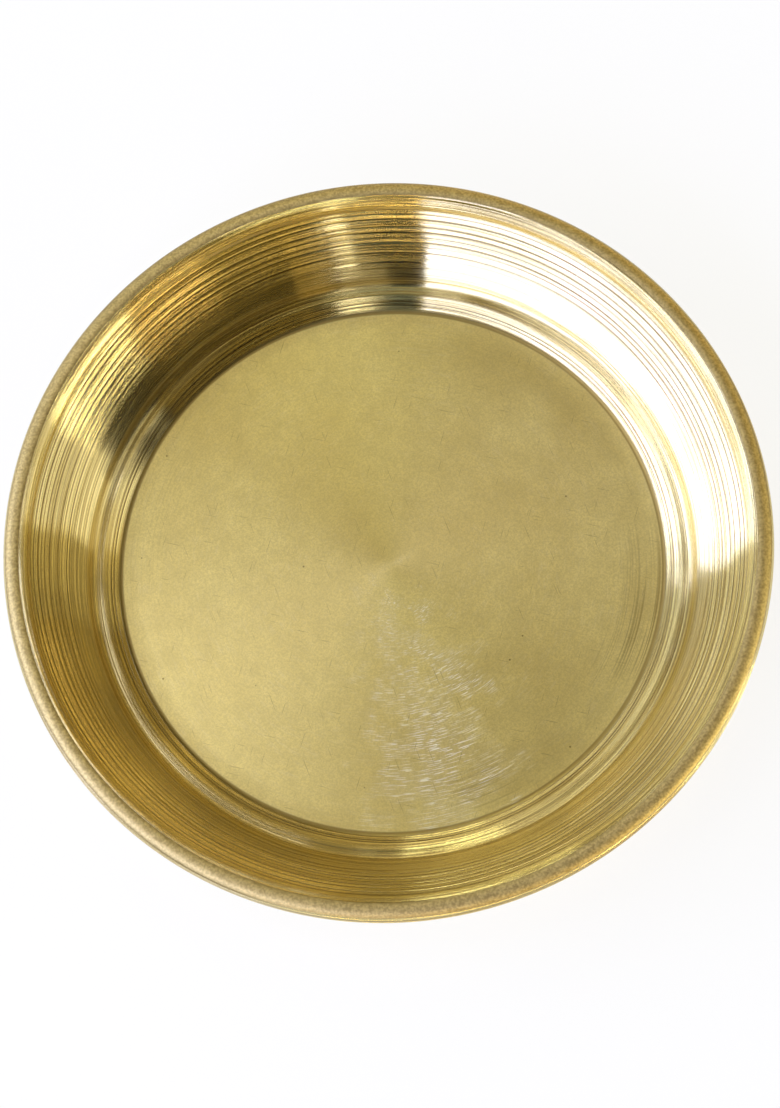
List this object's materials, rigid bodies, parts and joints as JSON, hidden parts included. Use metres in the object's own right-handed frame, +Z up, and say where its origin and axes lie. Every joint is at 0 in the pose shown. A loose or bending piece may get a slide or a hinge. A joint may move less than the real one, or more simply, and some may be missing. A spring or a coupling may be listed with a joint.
{
  "type": "thali plate",
  "caption": "Round brass thali plate with a flat floor, a low step and ledge, a deep flared wall with turned grooves, and an edge rolled outward over a stiffening wire.",
  "frame": {"origin": "centre of the flat base, on the surface that the plate stands on", "axes": "+Z up along the axis of the round plate"},
  "size_m": [0.23, 0.23, 0.0341],
  "materials": {
    "brass_sheet": "satin brushed floor and rim top, lathe-turned bright wall, light use scratches",
    "rim_steel": "plain drawn wire, unpolished"
  },
  "bodies": {
    "root": {"plate_body": "brass_sheet", "rim_wire": "rim_steel"}
  },
  "joints": []
}
